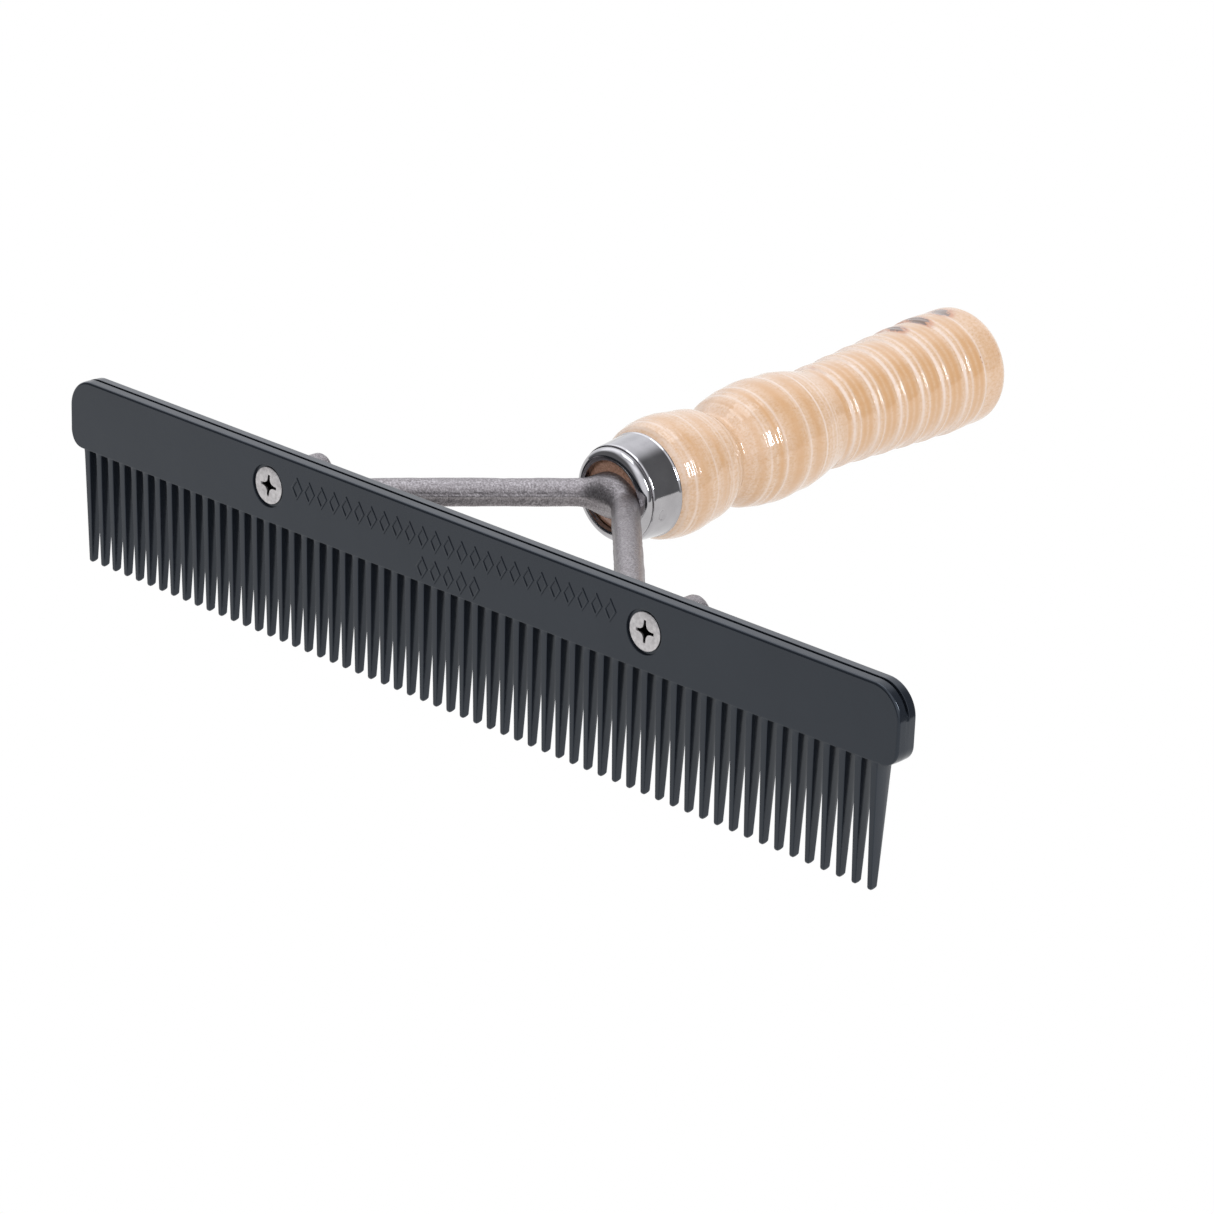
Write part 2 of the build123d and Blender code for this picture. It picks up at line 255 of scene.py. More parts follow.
# Finger rings: where each starts, then the steps of its shape, measured from its start.
RING_STARTS = [107.5, 114.8, 121.6, 128.5, 134.9, 142.0, 149.0]
RING_FIRST_RADIUS = 11.2
RING_GROWTH = 0.375
RING_STEP = 0.12
RING_END_GAP = 0.05
RING_CROWN = 0.1
RING_CROWN_START = 1.2
RING_RISE = (0.1, 0.9)
# Place, width and height of the fine groove and ridge, then depth and width of the dip at each end.
RING_GROOVE = (1.6, 0.2, 0.07)
RING_RIDGE = (2.15, 0.24, 0.075)
RING_DIP = (0.05, 0.3)
# Where the wood turns tan: middle and half width along the handle, and strength.
TAN_ZONES = [
    (60.2, 1.3, 0.55), (66.5, 1.0, 0.75), (75.2, 1.3, 0.4), (79.0, 0.7, 0.6), (83.4, 0.7, 0.85),
    (88.6, 1.9, 0.8), (94.8, 1.4, 0.7), (104.9, 1.3, 0.5), (106.4, 0.8, 0.8), (152.6, 1.1, 0.7),
]
# The same on each finger ring, measured from its start.
RING_TAN_ZONES = [(1.5, 0.25, 0.4), (3.4, 0.85, 0.9), (5.2, 0.9, 0.95)]
# Painted reflection: pale lines along the turned crests, in the same two lists.
PAINTED_REFLECTION_LINES = [
    (55.8, 0.28, 0.4), (57.9, 0.28, 0.6), (63.9, 0.28, 0.45), (69.2, 0.28, 0.5), (72.6, 0.28, 0.5),
    (80.9, 0.28, 0.5), (85.0, 0.28, 0.6), (92.0, 0.28, 0.7), (97.3, 0.28, 0.75), (99.7, 0.28, 0.3),
    (101.1, 0.28, 0.45), (148.6, 0.28, 0.6),
]
RING_PAINTED_REFLECTION_LINES = [(0.45, 0.28, 0.85), (2.1, 0.28, 0.4)]
# Behind the last ring: distance from its end and radius, then the rounded end and its flat.
BUTT_STATIONS = [(0.0, 12.98), (0.3, 12.92), (1.0, 12.97), (2.4, 13.05)]
BUTT_RADIUS = 13.08
BUTT_ROUND_DEPTH = 4.7
BUTT_ROUND_START = 8
BUTT_ROUND_POINTS = 16
BUTT_FLAT_RADIUS = 4.8
BUTT_FLAT_RISE = 0.02
BUTT_FLAT_RADII = (3.0, 1.2, 0.1)
# Dark heartwood on the crown of the last rings: distance, angle, half length and half angle.
VEIN_PATCHES = [(136.5, 101.0, 1.6, 15.0), (143.1, 99.0, 1.8, 19.0), (150.1, 98.0, 2.4, 16.0)]
VEIN_LEAN = 0.03
VEIN_FADE = (0.1, 1.6)
# A fainter band beside them: start, end and fade along the handle, angle, half angle and strength.
VEIN_BAND = (133.5, 153.5, 3.0, 119.0, 13.0, 0.45)
# A thin red line: distance, half length, angle, half angle and strength.
RED_LINE = (108.4, 0.8, 98.0, 11.0, 0.3)
CLEAR_WOOD_END = 100
# Two small dark dots: angle and radius.
DOTS_DISTANCE = 148.3
DOTS_DEPTH = 13.0
DOTS = [(29, 0.3), (24, 0.26)]

# Stage. Corners of the light table in metres; its right-hand edge is near the comb.
FLOOR_CORNERS = [(-6, -6), (0.3, -6), (0.3, -0.15), (0.118, 0.03), (0.118, 6), (-6, 6)]
FLOOR_RADIANCE = 1.0
CAMERA_AIM = (0.0, 45.63, -14.82)
CAMERA_AZIMUTH = 43.05
CAMERA_ELEVATION = 21.68
CAMERA_ROLL = 2.09
CAMERA_DISTANCE = 861.6
CAMERA_LENS = 125.8
# Soft light from the sky: azimuth, elevation, inner and outer angle of each lobe, and radiance.
SKY_DIM = 0.2
SKY_COLOUR = (0.945, 0.96, 1.0)
SKY_LOBES = [
    (222, 12, 34, 62, 1.0),
    (0, 89, 12, 45, 0.8),
    (62, 34, 10, 58, 1.3),
    (252, 46, 4, 34, 0.9),
]
# Panels: name, azimuth, elevation, distance, width and height in metres, and radiance.
PANEL_COLOUR = (0.9, 0.945, 1.0)
PANELS = [
    ("side_strip", 109, 24, 1.2, 0.11, 0.52, 28.0),
    ("overhead", 200, 78, 1.1, 0.6, 0.6, 2.0),
]


# ---- mesh helpers ----
def new_piece(name, points, faces, place):
    """A mesh object from points in millimetres in a local frame."""
    mesh = bpy.data.meshes.new(name)
    mesh.from_pydata((np.asarray(points, float) * MM).tolist(), [], [list(f) for f in faces])
    mesh.update()
    piece = bpy.data.objects.new(name, mesh)
    bpy.context.scene.collection.objects.link(piece)
    piece.matrix_world = place
    return piece


def tidy_normals(piece):
    """Turns every face outwards."""
    work = bmesh.new()
    work.from_mesh(piece.data)
    bmesh.ops.recalc_face_normals(work, faces=work.faces)
    work.to_mesh(piece.data)
    work.free()


def carve(piece, cutter):
    """Cuts a closed mesh out of a piece and removes the cutter."""
    cut = piece.modifiers.new("cut", "BOOLEAN")
    cut.operation = "DIFFERENCE"
    cut.solver = "EXACT"
    cut.object = cutter
    bpy.context.view_layer.update()
    shown = piece.evaluated_get(bpy.context.evaluated_depsgraph_get())
    mesh = bpy.data.meshes.new_from_object(shown)
    piece.modifiers.clear()
    piece.data = mesh
    bpy.data.objects.remove(cutter)


def join(pieces):
    """Joins pieces of one frame into the first of them."""
    work = bmesh.new()
    for piece in pieces:
        work.from_mesh(piece.data)
    work.to_mesh(pieces[0].data)
    work.free()
    for piece in pieces[1:]:
        bpy.data.objects.remove(piece)
    return pieces[0]


def smooth(piece, sharp_angle, weighted=True):
    """Smooth shading that keeps edges sharper than sharp_angle and big faces flat."""
    piece.data.shade_smooth()
    piece.data.set_sharp_from_angle(angle=radians(sharp_angle))
    if weighted:
        normals = piece.modifiers.new("weighted_normals", "WEIGHTED_NORMAL")
        normals.keep_sharp = True


def between_loops(loops, count, closed=False):
    """Quads that join successive loops of count points each."""
    faces = []
    for i in range(loops if closed else loops - 1):
        here = i * count
        there = (i + 1) % loops * count
        for j in range(count):
            k = (j + 1) % count
            faces.append((here + j, here + k, there + k, there + j))
    return faces


def capped_loops(loops, count):
    """The same quads, with a face over the first and the last loop."""
    faces = between_loops(loops, count)
    faces.append(range(count))
    faces.append(range((loops - 1) * count, loops * count))
    return faces


def turned(name, profile, place, segments, closed=False):
    """Turns (distance, radius) stations about the local Y axis."""
    angles = np.linspace(0, 2 * pi, segments, endpoint=False)
    points = []
    for distance, radius in profile:
        along = np.full(segments, distance)
        points.append(np.stack([radius * np.cos(angles), along, radius * np.sin(angles)], 1))
    loops = len(profile)
    faces = between_loops(loops, segments, closed=True) if closed else capped_loops(loops, segments)
    piece = new_piece(name, np.concatenate(points), faces, place)
    tidy_normals(piece)
    return piece


def arc(centre, radius, start, end, steps):
    """Points of an arc in a plane, with its angles in degrees."""
    angles = np.radians(np.linspace(start, end, steps + 1))
    return [(centre[0] + radius * cos(a), centre[1] + radius * sin(a)) for a in angles]


def smoothstep(low, high, value):
    """0 below low, 1 above high, and a smooth step between them."""
    t = np.clip((np.asarray(value, float) - low) / (high - low), 0, 1)
    return t * t * (3 - 2 * t)


def bump_at(value, centre, width):
    """A smooth bump of height 1 at centre."""
    return exp(-((value - centre) / width) ** 2)


# ---- node helpers ----
def node(tree, kind, inputs=None, **settings):
    """Adds a shader node; an input given as a socket is linked, any other is set."""
    made = tree.nodes.new("ShaderNode" + kind)
    for name, value in settings.items():
        setattr(made, name, value)
    for key, value in (inputs or {}).items():
        if isinstance(value, bpy.types.NodeSocket):
            tree.links.new(value, made.inputs[key])
        else:
            made.inputs[key].default_value = value
    return made


def emptied(owner):
    """The node tree of a material or a world, with nothing in it."""
    owner.use_nodes = True
    owner.node_tree.nodes.clear()
    return owner.node_tree


def principled(name, **values):
    """A material with one Principled shader and the given plain values."""
    material = bpy.data.materials.new(name)
    tree = emptied(material)
    shader = node(tree, "BsdfPrincipled", {k.replace("_", " "): v for k, v in values.items()})
    node(tree, "OutputMaterial", {"Surface": shader.outputs[0]})
    return material, tree, shader


def local_point(tree, stretch=(1, 1, 1)):
    """Object coordinates, stretched along the local axes."""
    place = node(tree, "TexCoord")
    return node(tree, "Mapping", {"Vector": place.outputs["Object"], "Scale": stretch}).outputs[0]


def grains(tree, point, size, detail=3.0, roughness=0.55, distortion=0.0):
    """Noise whose grains are about size millimetres across."""
    inputs = {"Vector": point, "Scale": 1 / (size * MM), "Detail": detail}
    inputs.update({"Roughness": roughness, "Distortion": distortion})
    return node(tree, "TexNoise", inputs).outputs["Fac"]


def ramp(tree, value, *stops):
    """A colour ramp with (place, colour) stops; a plain number is a grey."""
    made = node(tree, "ValToRGB", {"Fac": value})
    elements = made.color_ramp.elements
    while len(elements) < len(stops):
        elements.new(0.5)
    for element, (place, colour) in zip(elements, stops):
        element.position = place
        element.color = (*colour, 1) if isinstance(colour, tuple) else (colour, colour, colour, 1)
    return made.outputs["Color"]


def mix(tree, factor, first, second):
    """The first colour where factor is 0 and the second where it is 1."""
    first, second = [(*c, 1) if isinstance(c, tuple) else c for c in (first, second)]
    return node(tree, "Mix", {0: factor, 6: first, 7: second}, data_type="RGBA").outputs[2]


def span(tree, value, low, high):
    """Maps 0 to 1 onto low to high."""
    return node(tree, "MapRange", {"Value": value, "To Min": low, "To Max": high}).outputs[0]


def between(tree, value, start, end):
    """0 at start and 1 at end, both in millimetres."""
    limits = {"Value": value, "From Min": start * MM, "From Max": end * MM}
    return node(tree, "MapRange", limits).outputs[0]


def painted(tree, name):
    """A strength that the mesh holds at each point."""
    return node(tree, "Attribute", attribute_name=name).outputs["Fac"]


def local_depth(tree, point):
    """The local Y of a point."""
    return node(tree, "SeparateXYZ", {0: point}).outputs["Y"]


def math_node(tree, operation, first, second):
    return node(tree, "Math", {0: first, 1: second}, operation=operation).outputs[0]


def bumped(tree, shader, *layers):
    """Adds bump layers of (height, millimetres) to a shader's normal."""
    inputs = {"Strength": 1.0}
    for height, depth in layers:
        inputs.update({"Height": height, "Distance": depth * MM})
        inputs["Normal"] = node(tree, "Bump", inputs).outputs[0]
    tree.links.new(inputs["Normal"], shader.inputs["Normal"])


def shade(tree, shader, colour, roughness):
    """Links the colour and the roughness of a shader."""
    tree.links.new(colour, shader.inputs["Base Color"])
    tree.links.new(roughness, shader.inputs["Roughness"])


# ---- materials ----
def moulded_plastic():
    """Blue-black moulded plastic with a satin sheen and faint flow marks."""
    material, tree, shader = principled(
        "moulded_plastic", Roughness=0.2, Specular_IOR_Level=0.48, Specular_Tint=(0.79, 0.88, 1.0, 1.0)
    )
    point = local_point(tree)
    cloud = grains(tree, point, 22.0, 4.0)
    colour = ramp(tree, cloud, (0.3, (0.0085, 0.0105, 0.0145)), (0.75, (0.0115, 0.014, 0.019)))
    streaks = grains(tree, local_point(tree, (0.15, 1, 1)), 1.2, 5.0, 0.65)
    shade(tree, shader, colour, span(tree, streaks, 0.11, 0.24))
    bumped(tree, shader, (grains(tree, point, 0.35, 4.0), 0.003), (grains(tree, point, 5.0), 0.03))
    return material


def screw_steel():
    """Zinc-bright steel with the mottle of barrel plating, and painted shade deep in the recess."""
    material, tree, shader = principled("screw_steel", Metallic=1.0, Roughness=0.36)
    point = local_point(tree)
    mottle = grains(tree, point, 0.9, 5.0, 0.7)
    colour = ramp(tree, mottle, (0.32, (0.42, 0.405, 0.41)), (0.68, (0.66, 0.64, 0.645)))
    # Painted shade: the colour darkens with depth into the cross recess, to near black.
    inside = between(tree, local_depth(tree, point), *RECESS_PAINTED_SHADE)
    dark = mix(tree, inside, colour, (0.03, 0.028, 0.028))
    shade(tree, shader, dark, span(tree, grains(tree, point, 0.5), 0.26, 0.46))
    bumped(tree, shader, (mottle, 0.02), (grains(tree, point, 0.25, 2.0), 0.008))
    return material


def cast_steel():
    """Tumbled bare casting: grainy, warm grey, with darker pores."""
    material, tree, shader = principled("cast_steel", Metallic=1.0, Roughness=0.5)
    point = local_point(tree)
    fine = grains(tree, point, 0.4, 4.0, 0.7)
    broad = grains(tree, point, 2.2, 4.0, 0.6)
    pores, skin, worn_skin = (0.13, 0.115, 0.12), (0.28, 0.26, 0.267), (0.52, 0.49, 0.50)
    colour = ramp(tree, fine, (0.3, pores), (0.5, skin), (0.72, worn_skin))
    worn = mix(tree, span(tree, broad, -0.15, 0.6), colour, (0.235, 0.215, 0.22))
    shade(tree, shader, worn, span(tree, fine, 0.54, 0.3))
    dents = grains(tree, point, 1.0, 3.0, 0.6)
    bumped(tree, shader, (broad, 0.16), (dents, 0.12), (fine, 0.09))
    return material


def ferrule_plate():
    """Dark nickel plate over pressed steel, with fine haze."""
    material, tree, shader = principled("ferrule_plate", Metallic=1.0, Roughness=0.1)
    point = local_point(tree)
    haze = grains(tree, point, 0.6, 5.0, 0.7)
    cloud = grains(tree, point, 4.0)
    colour = ramp(tree, cloud, (0.3, (0.385, 0.375, 0.385)), (0.7, (0.45, 0.44, 0.45)))
    shade(tree, shader, colour, span(tree, haze, 0.05, 0.12))
    bumped(tree, shader, (haze, 0.0012), (cloud, 0.012))
    return material


def turned_wood(tree, point, bands, flecks, marks):
    """Pale wood with broad bands, fine flecks and the marks of turning."""
    cloud = grains(tree, point, 9.0)
    base = ramp(tree, cloud, (0.3, (0.635, 0.44, 0.305)), (0.7, (0.68, 0.495, 0.36)))
    banded = mix(tree, span(tree, bands, -0.1, 0.55), base, (0.595, 0.37, 0.20))
    flecked = mix(tree, ramp(tree, flecks, (0.45, 0.0), (0.66, 0.75)), banded, (0.53, 0.285, 0.12))
    return mix(tree, ramp(tree, marks, (0.45, 0.0), (0.7, 0.45)), flecked, (0.55, 0.32, 0.16))


def with_lines(tree, wood, bands):
    """Adds the tan zones and the pale lines of painted reflection along the turned crests."""
    uneven = math_node(tree, "MULTIPLY", painted(tree, "tan_zone"), span(tree, bands, 0.55, 1.45))
    tanned = mix(tree, uneven, wood, (0.565, 0.31, 0.135))
    # Painted reflection: a pale colour laid along the turned crests where they would catch light.
    broken = math_node(tree, "MULTIPLY", painted(tree, "painted_reflection_line"), span(tree, bands, 0.3, 1.5))
    return mix(tree, broken, tanned, (0.76, 0.63, 0.54))


def with_veins(tree, wood):
    """Adds the ragged dark heartwood and the red stain round it."""
    streaks = grains(tree, local_point(tree, (0.5, 1, 1)), 1.1, 4.0, 0.7, 0.8)
    ragged = math_node(tree, "MULTIPLY", painted(tree, "vein"), span(tree, streaks, -0.1, 2.0))
    stained = mix(tree, ramp(tree, ragged, (0.12, 0.0), (0.4, 0.85)), wood, (0.46, 0.17, 0.06))
    return mix(tree, ramp(tree, ragged, (0.5, 0.0), (0.6, 0.97)), stained, (0.13, 0.065, 0.035))


def dot(tree, point, angle, size):
    """1 in a small round dot on the handle, 0 outside it."""
    a = radians(angle)
    centre = Vector((DOTS_DEPTH * cos(a), DOTS_DISTANCE, DOTS_DEPTH * sin(a))) * MM
    away = node(tree, "VectorMath", {0: point, 1: centre}, operation="DISTANCE").outputs["Value"]
    return between(tree, away, size, size / 2)


def lacquered_wood():
    """Pale turned hardwood under a thick clear lacquer, and bare end grain in the ferrule."""
    material, tree, shader = principled(
        "lacquered_wood", Roughness=0.5, Coat_Weight=1.0, Coat_Roughness=0.035, Coat_IOR=1.6
    )
    point = local_point(tree)
    flecks = grains(tree, local_point(tree, (1, 0.5, 1)), 0.45, 5.0, 0.7)
    bands = grains(tree, local_point(tree, (1, 0.1, 1)), 4.0, 4.0, 0.55, 0.8)
    marks = grains(tree, local_point(tree, (0.06, 1, 0.06)), 0.45, 3.0, 0.6)
    wood = with_lines(tree, turned_wood(tree, point, bands, flecks, marks), bands)
    dots = math_node(tree, "MAXIMUM", *[dot(tree, point, *each) for each in DOTS])
    dots = math_node(tree, "MULTIPLY", dots, 0.75)
    dotted = mix(tree, dots, with_veins(tree, wood), (0.30, 0.09, 0.05))
    grain = grains(tree, point, 0.5)
    end_grain = ramp(tree, grain, (0.35, (0.36, 0.17, 0.10)), (0.65, (0.64, 0.37, 0.25)))
    at_end = between(tree, local_depth(tree, point), STUB_START + END_GRAIN_FADE, STUB_START)
    tree.links.new(mix(tree, at_end, dotted, end_grain), shader.inputs["Base Color"])
    bumped(tree, shader, (flecks, 0.002), (marks, 0.003))
    return material


def white_floor():
    """A plain white light table."""
    material = bpy.data.materials.new("white_floor")
    tree = emptied(material)
    glow = node(tree, "Emission", {"Color": (1, 1, 1, 1), "Strength": FLOOR_RADIANCE})
    node(tree, "OutputMaterial", {"Surface": glow.outputs[0]})
    return material


# ---- comb ----
def spine_outline(arc_steps=14):
    """Points and outward normals of the spine's outline, seen from the front."""
    left, right = SPINE_LOW[0], SPINE_HIGH[0]
    low, high = SPINE_LOW[2], SPINE_HIGH[2]
    corners = [
        (right - BOTTOM_CORNER_RADIUS, low + BOTTOM_CORNER_RADIUS, BOTTOM_CORNER_RADIUS, -90),
        (right - TOP_CORNER_RADIUS, high - TOP_CORNER_RADIUS, TOP_CORNER_RADIUS, 0),
        (left + TOP_CORNER_RADIUS, high - TOP_CORNER_RADIUS, TOP_CORNER_RADIUS, 90),
        (left + BOTTOM_CORNER_RADIUS, low + BOTTOM_CORNER_RADIUS, BOTTOM_CORNER_RADIUS, 180),
    ]
    points, normals = [], []
    for x, z, radius, start in corners:
        points += arc((x, z), radius, start, start + 90, arc_steps)
        normals += arc((0, 0), 1.0, start, start + 90, arc_steps)
    return np.array(points), np.array(normals)


def spine_loops(normals):
    """Depth and inset of each loop round the spine, from the front face to the back."""
    down = smoothstep(*ROOT_EDGE_FADE, -normals[:, 1])
    front = FRONT_EDGE_RADIUS + (ROOT_EDGE_RADIUS - FRONT_EDGE_RADIUS) * down
    back = BACK_EDGE_RADIUS + (ROOT_EDGE_RADIUS - BACK_EDGE_RADIUS) * down
    thickness = SPINE_HIGH[1]
    middle = thickness / 2
    groove = GROOVE_DEPTH * smoothstep(*GROOVE_FADE, normals[:, 1])
    zero = np.zeros(len(normals))
    lip = np.minimum(groove, GROOVE_LIP)
    near = middle - GROOVE_WIDTH / 2
    far = middle + GROOVE_WIDTH / 2
    loops = []
    for a in np.radians(np.linspace(0, 90, FRONT_EDGE_POINTS)):
        loops.append((front * (1 - cos(a)), front * (1 - sin(a))))
    loops += [
        (zero + near - GROOVE_LIP, zero),
        (zero + near, lip),
        (zero + near + GROOVE_WALL, groove),
        (zero + far - GROOVE_WALL, groove),
        (zero + far, lip),
        (zero + far + GROOVE_LIP, zero),
    ]
    for a in np.radians(np.linspace(90, 0, BACK_EDGE_POINTS)):
        loops.append((thickness - back * (1 - cos(a)), back * (1 - sin(a))))
    slope = tan(radians(DRAFT))
    return [(depth, inset + slope * np.abs(depth - middle)) for depth, inset in loops]


def spine_body():
    outline, normals = spine_outline()
    loops = spine_loops(normals)
    points = []
    for depth, inset in loops:
        flat = outline - normals * inset[:, None]
        points.append(np.stack([flat[:, 0], depth, flat[:, 1]], 1))
    faces = capped_loops(len(loops), len(outline))
    piece = new_piece("comb_blade", np.concatenate(points), faces, COMB)
    tidy_normals(piece)
    return piece


def cone_depth(radius):
    """How deep the countersunk cone is from the head's edge down to a radius."""
    return (HEAD_RADIUS - radius) / tan(radians(HEAD_ANGLE / 2))


def screw_seat(x):
    """The cutter for one countersunk hole, with a small flare at the face."""
    cone_start = HEAD_SETBACK + HEAD_RIM
    hole = SCREW_RADIUS + SEAT_CLEARANCE
    profile = [
        (-CUT_MARGIN, SEAT_RADIUS + SEAT_FLARE),
        (0.0, SEAT_RADIUS + SEAT_FLARE),
        (SEAT_EDGE, SEAT_RADIUS + SEAT_FLARE / 3),
        (SEAT_FLARE, SEAT_RADIUS),
        (cone_start, SEAT_RADIUS),
        (cone_start + SEAT_EDGE / 2, HEAD_RADIUS),
        (cone_start + cone_depth(hole), hole),
        (SPINE_HIGH[1] + CUT_MARGIN, hole),
    ]
    cutter = turned("seat", profile, COMB, SCREW_SEGMENTS)
    cutter.data.transform(Matrix.Translation((x * MM, 0, SCREW_HEIGHT * MM)))
    return cutter


def lozenge(x, z):
    """A raised diamond outline on the front face: a plain ornament."""
    bevel = LOZENGE_BEVEL
    shoulder = LOZENGE_SHOULDER - LOZENGE_RISE
    wide, high = LOZENGE_WIDE, LOZENGE_HIGH
    inner_wide = wide - LOZENGE_STROKE * 2.2
    inner_high = high - LOZENGE_STROKE * 3.2
    steps = [
        (LOZENGE_SUNK, wide, high),
        (shoulder, wide - bevel * 0.6, high - bevel),
        (-LOZENGE_RISE, wide - bevel * 2, high - bevel * 3),
        (-LOZENGE_RISE, inner_wide + bevel * 2, inner_high + bevel * 3),
        (shoulder, inner_wide + bevel * 0.6, inner_high + bevel),
        (LOZENGE_SUNK, inner_wide, inner_high),
    ]
    points = []
    for depth, width, height in steps:
        for dx, dz in ((width / 2, 0), (0, height / 2), (-width / 2, 0), (0, -height / 2)):
            points.append((x + dx, depth, z + dz))
    return new_piece("lozenge", points, between_loops(len(steps), 4, closed=True), COMB)


def ornament():
    """Rows of lozenges between the screws, each centred."""
    made = []
    for count, height in LOZENGE_ROWS:
        for i in range(count):
            made.append(lozenge((i - (count - 1) / 2) * LOZENGE_PITCH, height))
    band = join(made)
    tidy_normals(band)
    return band


def comb_blade():
    blade = spine_body()
    for x in (-SCREW_REACH, SCREW_REACH):
        carve(blade, screw_seat(x))
    blade = join([blade, ornament()])
    smooth(blade, 40)
    return blade


def tooth_station(height):
    """Half width, front and back of a tooth at a height below the root line."""
    share = -height / -TEETH_LOW[2]
    flare = TOOTH_FLARE * exp(min(height, 0) / TOOTH_FLARE_REACH)
    width, depth, front = [root + (tip - root) * share for root, tip in zip(TOOTH_ROOT, TOOTH_TIP)]
    return width / 2 + flare, front, front + depth


def tooth_loop(x, height, half, front, back, swell=1.0, steps=3):
    """A section of a tooth; its sides swell towards the mould's parting plane."""
    corner = min(TOOTH_CORNER, half * 0.8, (back - front) * 0.4)
    mould_parting = SPINE_HIGH[1] / 2
    parting = min(mould_parting, back - corner - TOOTH_SMALLEST_FLAT)
    slope = tan(radians(TOOTH_DRAFT)) * swell
    middle = half + (parting - front) * slope
    back_slope = tan(radians(TOOTH_BACK_DRAFT)) * swell
    rear = middle - max(back - mould_parting, 0) * back_slope
    points = arc((rear - corner, back - corner), corner, 0, 90, steps)
    points += arc((corner - rear, back - corner), corner, 90, 180, steps)
    points.append((-middle, parting))
    points += arc((corner - half, front + corner), corner, 180, 270, steps)
    points += arc((half - corner, front + corner), corner, 270, 360, steps)
    points.append((middle, parting))
    return [(x + px, py, height) for px, py in points]


def tooth_mesh(x):
    """Loops of one tooth, from inside the spine to its tip, which is cut back behind."""
    tip_start = TEETH_LOW[2] + TOOTH_TIP[1] / 2
    shaft = list(np.linspace(TOOTH_SHAFT_START, tip_start, TOOTH_SHAFT_LOOPS))
    loops = [tooth_loop(x, h, *tooth_station(h)) for h in TOOTH_FLARE_HEIGHTS + shaft]
    half, front, back = tooth_station(tip_start)
    depth = back - front
    reach = tip_start - TEETH_LOW[2]
    for drop, ahead, behind, wide in TOOTH_TIP_STEPS:
        section = (half * wide, front + depth * ahead, back - depth * behind, wide)
        loops.append(tooth_loop(x, tip_start - reach * drop, *section))
    return loops


def comb_teeth():
    half_row = TEETH_HIGH[0] - TOOTH_ROOT[0] / 2
    points, faces = [], []
    for x in np.linspace(-half_row, half_row, TOOTH_COUNT):
        loops = tooth_mesh(x)
        first = len(points)
        for loop in loops:
            points += loop
        faces += [[first + i for i in f] for f in capped_loops(len(loops), len(loops[0]))]
    piece = new_piece("comb_tooth_row", points, faces, COMB)
    tidy_normals(piece)
    smooth(piece, 50)
    return piece


# ---- screws ----
def recess_outline(reach, wing, waist):
    """A cross with hollow flanks, whose arms narrow outwards."""
    steps = np.linspace(0, 1, 7)
    spread = wing / 2 + (waist - wing / 2) * steps**4
    along = reach + (waist - reach) * steps
    flank = list(zip(along, spread)) + list(zip(spread, along))[-2::-1]
    points = []
    for quarter in range(4):
        turn = quarter * pi / 2
        c, s = cos(turn), sin(turn)
        points += [(u * c - v * s, u * s + v * c) for u, v in flank]
    return points


def cross_recess():
    """The cutter for a cross recess in a head that faces -Y at the origin."""
    points = []
    for depth, span_share, wing_share, waist in RECESS_STAGES:
        outline = recess_outline(RECESS_SPAN * span_share / 2, RECESS_WING * wing_share, waist)
        points += [(x, depth, z) for x, z in outline]
    cutter = new_piece("recess", points, capped_loops(len(RECESS_STAGES), len(outline)), COMB)
    tidy_normals(cutter)
    return cutter


def screw(x, turn):
    """One flat-head screw, its recess turned as it was left when tightened."""
    length = SCREW_HIGH[1] - SCREW_LOW[1]
    profile = [(0.0, 0.05), (0.0, HEAD_RADIUS * 0.5), (0.0, HEAD_RADIUS - HEAD_EDGE)]
    profile += arc((HEAD_EDGE, HEAD_RADIUS - HEAD_EDGE), HEAD_EDGE, 150, 90, 3)
    profile += [
        (HEAD_RIM, HEAD_RADIUS),
        (HEAD_RIM + cone_depth(SCREW_RADIUS), SCREW_RADIUS),
        (length - SCREW_END_CHAMFER, SCREW_RADIUS),
        (length, SCREW_RADIUS - SCREW_END_CHAMFER),
    ]
    piece = turned("screw", profile, COMB, SCREW_SEGMENTS)
    cutter = cross_recess()
    cutter.data.transform(Matrix.Rotation(radians(turn), 4, "Y"))
    carve(piece, cutter)
    piece.data.transform(Matrix.Translation((x * MM, HEAD_SETBACK * MM, SCREW_HEIGHT * MM)))
    return piece


def comb_screws():
    places = zip((-SCREW_REACH, SCREW_REACH), SCREW_TURNS)
    piece = join([screw(x, turn) for x, turn in places])
    piece.name = "cross_head_screws"
    smooth(piece, 30)
    return piece


# ---- fork: a distance field turned into a mesh ----
def blend_union(a, b, width):
    """Union of two distance fields with a fillet about width across."""
    h = np.maximum(width - np.abs(a - b), 0) / width
    return np.minimum(a, b) - h * h * width / 4


def rounded_edge(first, second, radius):
    """Distance from a rounded edge, given the distances from its two cores."""
    outside = np.hypot(np.maximum(first, 0), np.maximum(second, 0))
    return outside + np.minimum(np.maximum(first, second), 0) - radius


def segment_distance(x, y, start, end):
    along = np.array(end) - np.array(start)
    t = ((x - start[0]) * along[0] + (y - start[1]) * along[1]) / (along @ along)
    t = np.clip(t, 0, 1)
    return np.hypot(x - start[0] - t * along[0], y - start[1] - t * along[1])


